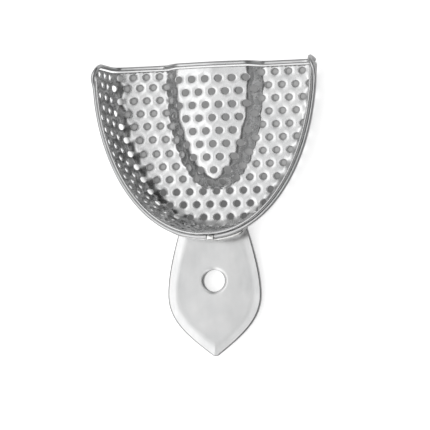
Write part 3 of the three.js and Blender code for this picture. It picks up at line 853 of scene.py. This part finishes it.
def build_floor():
    """A plain pale floor, a little lit from within, with a painted shadow where the tray lies on it and
    painted shade at the holes' rims.
    """
    half = STAGE_HALF_WIDTH
    mesh = bpy.data.meshes.new("floor")
    square = ((-half, -half), (half, -half), (half, half), (-half, half))
    corners = [(x, y, -STAGE_BELOW) for x, y in square]
    mesh.from_pydata(corners, [], [[0, 1, 2, 3]])
    floor = bpy.data.objects.new("floor", mesh)
    bpy.context.scene.collection.objects.link(floor)
    material = bpy.data.materials.new("pale_floor")
    material.use_nodes = True
    tree = material.node_tree
    shader = tree.nodes["Principled BSDF"]
    shader.inputs["Roughness"].default_value = 0.8
    shader.inputs["Specular IOR Level"].default_value = 0.1
    shader.inputs["Emission Strength"].default_value = FLOOR_GLOW
    place = tree.nodes.new("ShaderNodeTexCoord").outputs["Object"]
    # Painted shadow: the floor is grey where the tray covers it, and darker towards the tray's front.
    in_painted_shadow, forward = painted_shadow_masks(tree, place)
    # Painted shade: the floor seen through the holes darkens where the steel is within NEAR_STEEL of it.
    openness = node_of(tree, "ShaderNodeAmbientOcclusion", Distance=NEAR_STEEL * MM)
    openness.samples = 8
    painted_rim_shade = faded(tree, openness.outputs["AO"], *NEAR_STEEL_FADE)
    under = greys(tree, forward, PAINTED_SHADOW_BACK, PAINTED_SHADOW_FRONT)
    under = greys(tree, painted_rim_shade, under, PAINTED_SHADOW_FRONT)
    colour = greys(tree, in_painted_shadow, FLOOR_COLOUR, under)
    reflected = tree.nodes.new("ShaderNodeLightPath").outputs["Is Glossy Ray"]
    shown = greys(tree, reflected, colour, FLOOR_IN_STEEL)
    tree.links.new(shown, shader.inputs["Base Color"])
    tree.links.new(shown, shader.inputs["Emission Color"])
    floor.data.materials.append(material)


STUDIO_LIGHT = 1.0
OVERHEAD_LIGHT = 1.0
# The studio's brightness from left to right, by how far a direction leans to the right.
STUDIO_ACROSS = ((-1, 0.7), (-0.7, 0.65), (-0.6, 1.1), (-0.52, 1.6), (-0.38, 1.55), (-0.31, 1.05),
                 (-0.25, 0.82), (-0.19, 0.74), (-0.12, 0.88), (-0.05, 1.1), (0.04, 1.35), (0.1, 1.1),
                 (0.18, 0.45), (0.28, 0.12), (0.6, 0.12), (0.8, 0.4), (1, 0.5))
STUDIO_BRIGHTEST = 1.7
STUDIO_LOW = {"level": 0.42, "start": 0.3, "end": 0.65}  # its dimmer lower part
STUDIO_BACK = {"level": 0.45, "start": 0.55, "end": 0.2}  # its dimmer far side, past the open back


def build_world():
    """A studio that is bright on the left and overhead, dark on the right, and dimmer low down."""
    world = bpy.data.worlds.new("studio")
    bpy.context.scene.world = world
    world.use_nodes = True
    tree = world.node_tree
    background = tree.nodes["Background"]
    background.inputs["Strength"].default_value = STUDIO_LIGHT
    split = tree.nodes.new("ShaderNodeSeparateXYZ")
    tree.links.new(tree.nodes.new("ShaderNodeTexCoord").outputs["Generated"], split.inputs["Vector"])
    curve = tree.nodes.new("ShaderNodeFloatCurve")
    points = curve.mapping.curves[0].points
    for lean, level in STUDIO_ACROSS[1:-1]:
        points.new((lean + 1) / 2, level / STUDIO_BRIGHTEST)
    points[0].location = (0, STUDIO_ACROSS[0][1] / STUDIO_BRIGHTEST)
    points[-1].location = (1, STUDIO_ACROSS[-1][1] / STUDIO_BRIGHTEST)
    curve.mapping.update()
    across = tree.nodes.new("ShaderNodeMapRange")
    across.inputs["From Min"].default_value = -1
    tree.links.new(split.outputs["X"], across.inputs["Value"])
    tree.links.new(across.outputs["Result"], curve.inputs["Value"])
    level = curve.outputs["Value"]
    for axis, dim, top in (("Z", STUDIO_LOW, STUDIO_BRIGHTEST), ("Y", STUDIO_BACK, 1)):
        fade = faded(tree, split.outputs[axis], dim["start"], dim["end"])
        fade.node.inputs["To Min"].default_value = dim["level"] * top
        fade.node.inputs["To Max"].default_value = top
        product = tree.nodes.new("ShaderNodeMath")
        product.operation = "MULTIPLY"
        tree.links.new(level, product.inputs[0])
        tree.links.new(fade, product.inputs[1])
        level = product.outputs["Value"]
    tree.links.new(level, background.inputs["Color"])


def build_lights():
    """A wide soft light from above that whitens the floor and stays out of reflections."""
    light = bpy.data.lights.new("overhead", "SUN")
    light.angle = math.radians(70)
    light.energy = OVERHEAD_LIGHT
    lamp = bpy.data.objects.new("overhead", light)
    lamp.visible_glossy = False
    bpy.context.scene.collection.objects.link(lamp)


# The camera looks down on the tray, a little from its right and from the handle's side.
CAMERA_FROM_RIGHT, CAMERA_FROM_HANDLE, CAMERA_ROLL = 14.5, 3.0, 1.1  # degrees
CAMERA_DISTANCE = 0.78
VIEW_WIDTH = 0.129  # what the picture is wide at that distance
FRAMING_RIGHT, FRAMING_UP = 0.00135, -0.00205


def build_camera():
    low, high = Vector(CAD_BOX[0]), Vector(CAD_BOX[1])
    right_lean, front_lean = math.radians(CAMERA_FROM_RIGHT), math.radians(CAMERA_FROM_HANDLE)
    towards_camera = Vector((math.tan(right_lean), -math.tan(front_lean), 1)).normalized()
    right = Vector((0, 1, 0)).cross(towards_camera).normalized()
    up = towards_camera.cross(right)
    aim = (low + high) / 2 + right * FRAMING_RIGHT + up * FRAMING_UP
    turn = Matrix.Rotation(math.radians(-CAMERA_ROLL), 3, towards_camera)
    right, up = turn @ right, turn @ up
    data = bpy.data.cameras.new("camera")
    data.sensor_width = 36
    data.lens = data.sensor_width * CAMERA_DISTANCE / VIEW_WIDTH
    camera = bpy.data.objects.new("camera", data)
    axes = Matrix((right, up, towards_camera)).transposed().to_4x4()
    camera.matrix_world = Matrix.Translation(aim + towards_camera * CAMERA_DISTANCE) @ axes
    bpy.context.scene.collection.objects.link(camera)
    bpy.context.scene.camera = camera


build_camera()
build_world()
build_lights()
build_floor()
build_sheet(sheet_steel())
build_wire(wire_steel())
braze = braze_metal()
build_joint(braze)
build_handle(handle_steel())
build_braze(braze)
bpy.context.scene.view_settings.view_transform = "Standard"
